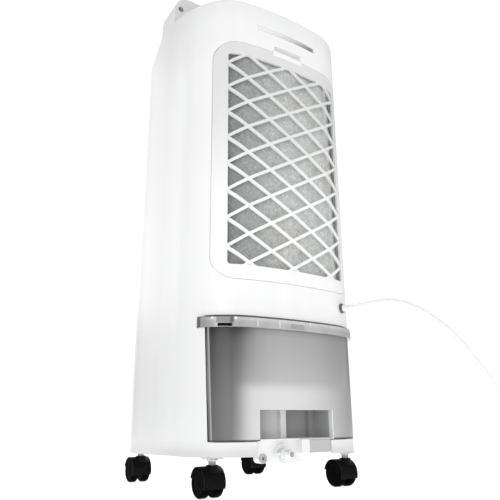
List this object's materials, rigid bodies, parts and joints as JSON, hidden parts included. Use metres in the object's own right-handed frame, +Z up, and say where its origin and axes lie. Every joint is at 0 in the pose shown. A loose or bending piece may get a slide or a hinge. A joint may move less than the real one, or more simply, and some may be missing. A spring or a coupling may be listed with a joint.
{
  "type": "evaporative cooler",
  "caption": "Tower evaporative cooler with lattice filter cover, slide-out smoked water tank, drain valve, louvred outlet and swivel casters.",
  "frame": {"origin": "on the floor, at the middle of the cooler's own bounding box", "axes": "+Z up, +Y towards the rear with the filter cover and water tank, -Y towards the air outlet"},
  "size_m": [0.6224, 0.591, 0.9045],
  "materials": {
    "body_white": "satin",
    "cover_white": "satin",
    "front_white": "satin",
    "panel_black": "gloss",
    "button_white": "matte",
    "display": "gloss",
    "inner_grey": "matte",
    "duct_white": "matte",
    "smoke": "satin",
    "clear_rim": "gloss",
    "drain_white": "satin",
    "dark_rubber": "matte",
    "gland_grey": "matte",
    "cord_white": "satin",
    "caster_black": "satin",
    "wheel_black": "satin",
    "steel": "brushed",
    "motor_grey": "satin",
    "filter_grey": "matte",
    "pad_brown": "matte",
    "hose": "satin",
    "pcb": "matte"
  },
  "bodies": {
    "cabinet": {"base_tray": "body_white", "tank_rails": "duct_white", "caster_plates": "steel", "rear_housing": "body_white", "handle_pocket": "body_white", "cord_gland": "gland_grey", "front_frame": "front_white", "louvre_frame": "inner_grey", "swing_motor": "motor_grey", "bulkhead": "duct_white", "fan_scroll": "duct_white", "air_duct": "duct_white", "fan_motor": "motor_grey", "pad_frame": "inner_grey", "evaporative_pad": "pad_brown", "drip_tray": "duct_white", "riser_pipe": "hose", "control_head": "body_white", "head_screws": "steel", "control_panel": "panel_black", "display_window": "display", "control_board": "pcb", "cord": "cord_white", "cord_coil": "cord_white", "plug": "cord_white"},
    "filter_cover": {"filter_cover": "cover_white", "dust_filter": "filter_grey"},
    "latch": {"latch_tab": "cover_white"},
    "tank": {"water_tank": "smoke", "tank_rim": "clear_rim", "grip_hood": "drain_white", "drain_block": "drain_white", "drain_spigot": "drain_white", "overflow_plug": "dark_rubber", "pump": "motor_grey", "pump_hose": "hose"},
    "drain_knob": {"drain_knob": "drain_white"},
    "impeller": {"impeller": "duct_white"},
    "louvre_1": {"louvre_1": "front_white"},
    "louvre_2": {"louvre_2": "front_white"},
    "louvre_3": {"louvre_3": "front_white"},
    "louvre_4": {"louvre_4": "front_white"},
    "louvre_5": {"louvre_5": "front_white"},
    "vane_1": {"vane_1": "inner_grey"},
    "vane_2": {"vane_2": "inner_grey"},
    "vane_3": {"vane_3": "inner_grey"},
    "vane_4": {"vane_4": "inner_grey"},
    "button_1": {"button_1": "button_white"},
    "button_2": {"button_2": "button_white"},
    "button_3": {"button_3": "button_white"},
    "button_4": {"button_4": "button_white"},
    "caster_1": {"caster_fork_1": "caster_black"},
    "wheel_pair_1": {"wheels_1": "wheel_black"},
    "caster_2": {"caster_fork_2": "caster_black"},
    "wheel_pair_2": {"wheels_2": "wheel_black"},
    "caster_3": {"caster_fork_3": "caster_black"},
    "wheel_pair_3": {"wheels_3": "wheel_black"},
    "caster_4": {"caster_fork_4": "caster_black"},
    "wheel_pair_4": {"wheels_4": "wheel_black"}
  },
  "joints": [
    {"name": "filter_cover_tilt", "type": "hinge", "parent": "cabinet", "child": "filter_cover", "pos_m": [0, 0.17205, 0.3046], "axis": [-1, 0, 0], "range_deg": [0, 35]},
    {"name": "latch_press", "type": "slide", "parent": "filter_cover", "child": "latch", "axis": [0, -1, 0], "range_m": [0, 0.0025], "stiffness_N_per_m": 800},
    {"name": "tank_slide", "type": "slide", "parent": "cabinet", "child": "tank", "axis": [0, 1, 0], "range_m": [0, 0.235]},
    {"name": "drain_knob_turn", "type": "hinge", "parent": "tank", "child": "drain_knob", "pos_m": [0.0237, 0.1672, 0.0562], "axis": [0, 1, 0], "range_deg": [0, 90]},
    {"name": "impeller_spin", "type": "hinge", "parent": "cabinet", "child": "impeller", "pos_m": [0, 0, 0.474], "axis": [0, 1, 0], "continuous": true},
    {"name": "louvre_1_tilt", "type": "hinge", "parent": "cabinet", "child": "louvre_1", "pos_m": [0, -0.152, 0.612], "axis": [1, 0, 0], "range_deg": [-35, 30]},
    {"name": "louvre_2_tilt", "type": "hinge", "parent": "cabinet", "child": "louvre_2", "pos_m": [0, -0.152, 0.6535], "axis": [1, 0, 0], "range_deg": [-35, 30]},
    {"name": "louvre_3_tilt", "type": "hinge", "parent": "cabinet", "child": "louvre_3", "pos_m": [0, -0.152, 0.695], "axis": [1, 0, 0], "range_deg": [-35, 30]},
    {"name": "louvre_4_tilt", "type": "hinge", "parent": "cabinet", "child": "louvre_4", "pos_m": [0, -0.152, 0.7365], "axis": [1, 0, 0], "range_deg": [-35, 30]},
    {"name": "louvre_5_tilt", "type": "hinge", "parent": "cabinet", "child": "louvre_5", "pos_m": [0, -0.152, 0.778], "axis": [1, 0, 0], "range_deg": [-35, 30]},
    {"name": "vane_1_swing", "type": "hinge", "parent": "cabinet", "child": "vane_1", "pos_m": [-0.075, -0.118, 0.695], "axis": [0, 0, 1], "range_deg": [-40, 40]},
    {"name": "vane_2_swing", "type": "hinge", "parent": "cabinet", "child": "vane_2", "pos_m": [-0.025, -0.118, 0.695], "axis": [0, 0, 1], "range_deg": [-40, 40]},
    {"name": "vane_3_swing", "type": "hinge", "parent": "cabinet", "child": "vane_3", "pos_m": [0.025, -0.118, 0.695], "axis": [0, 0, 1], "range_deg": [-40, 40]},
    {"name": "vane_4_swing", "type": "hinge", "parent": "cabinet", "child": "vane_4", "pos_m": [0.075, -0.118, 0.695], "axis": [0, 0, 1], "range_deg": [-40, 40]},
    {"name": "button_1_press", "type": "slide", "parent": "cabinet", "child": "button_1", "axis": [0, 0.0995, -0.995], "range_m": [0, 0.0015], "stiffness_N_per_m": 400},
    {"name": "button_2_press", "type": "slide", "parent": "cabinet", "child": "button_2", "axis": [0, 0.0995, -0.995], "range_m": [0, 0.0015], "stiffness_N_per_m": 400},
    {"name": "button_3_press", "type": "slide", "parent": "cabinet", "child": "button_3", "axis": [0, 0.0995, -0.995], "range_m": [0, 0.0015], "stiffness_N_per_m": 400},
    {"name": "button_4_press", "type": "slide", "parent": "cabinet", "child": "button_4", "axis": [0, 0.0995, -0.995], "range_m": [0, 0.0015], "stiffness_N_per_m": 400},
    {"name": "caster_1_swivel", "type": "hinge", "parent": "cabinet", "child": "caster_1", "pos_m": [0.1213, 0.1306, 0.05], "axis": [0, 0, 1], "continuous": true},
    {"name": "wheel_pair_1_roll", "type": "hinge", "parent": "caster_1", "child": "wheel_pair_1", "pos_m": [0.1213, 0.1186, 0.02], "axis": [1, 0, 0], "continuous": true},
    {"name": "caster_2_swivel", "type": "hinge", "parent": "cabinet", "child": "caster_2", "pos_m": [-0.1213, 0.1306, 0.05], "axis": [0, 0, 1], "continuous": true},
    {"name": "wheel_pair_2_roll", "type": "hinge", "parent": "caster_2", "child": "wheel_pair_2", "pos_m": [-0.1213, 0.1186, 0.02], "axis": [1, 0, 0], "continuous": true},
    {"name": "caster_3_swivel", "type": "hinge", "parent": "cabinet", "child": "caster_3", "pos_m": [0.1213, -0.1306, 0.05], "axis": [0, 0, 1], "continuous": true},
    {"name": "wheel_pair_3_roll", "type": "hinge", "parent": "caster_3", "child": "wheel_pair_3", "pos_m": [0.1213, -0.1426, 0.02], "axis": [1, 0, 0], "continuous": true},
    {"name": "caster_4_swivel", "type": "hinge", "parent": "cabinet", "child": "caster_4", "pos_m": [-0.1213, -0.1306, 0.05], "axis": [0, 0, 1], "continuous": true},
    {"name": "wheel_pair_4_roll", "type": "hinge", "parent": "caster_4", "child": "wheel_pair_4", "pos_m": [-0.1213, -0.1426, 0.02], "axis": [1, 0, 0], "continuous": true}
  ],
  "couplings": [
    {"joint": "louvre_2_tilt", "follows": "louvre_1_tilt", "ratio": 1},
    {"joint": "louvre_3_tilt", "follows": "louvre_1_tilt", "ratio": 1},
    {"joint": "louvre_4_tilt", "follows": "louvre_1_tilt", "ratio": 1},
    {"joint": "louvre_5_tilt", "follows": "louvre_1_tilt", "ratio": 1},
    {"joint": "vane_2_swing", "follows": "vane_1_swing", "ratio": 1},
    {"joint": "vane_3_swing", "follows": "vane_1_swing", "ratio": 1},
    {"joint": "vane_4_swing", "follows": "vane_1_swing", "ratio": 1}
  ]
}
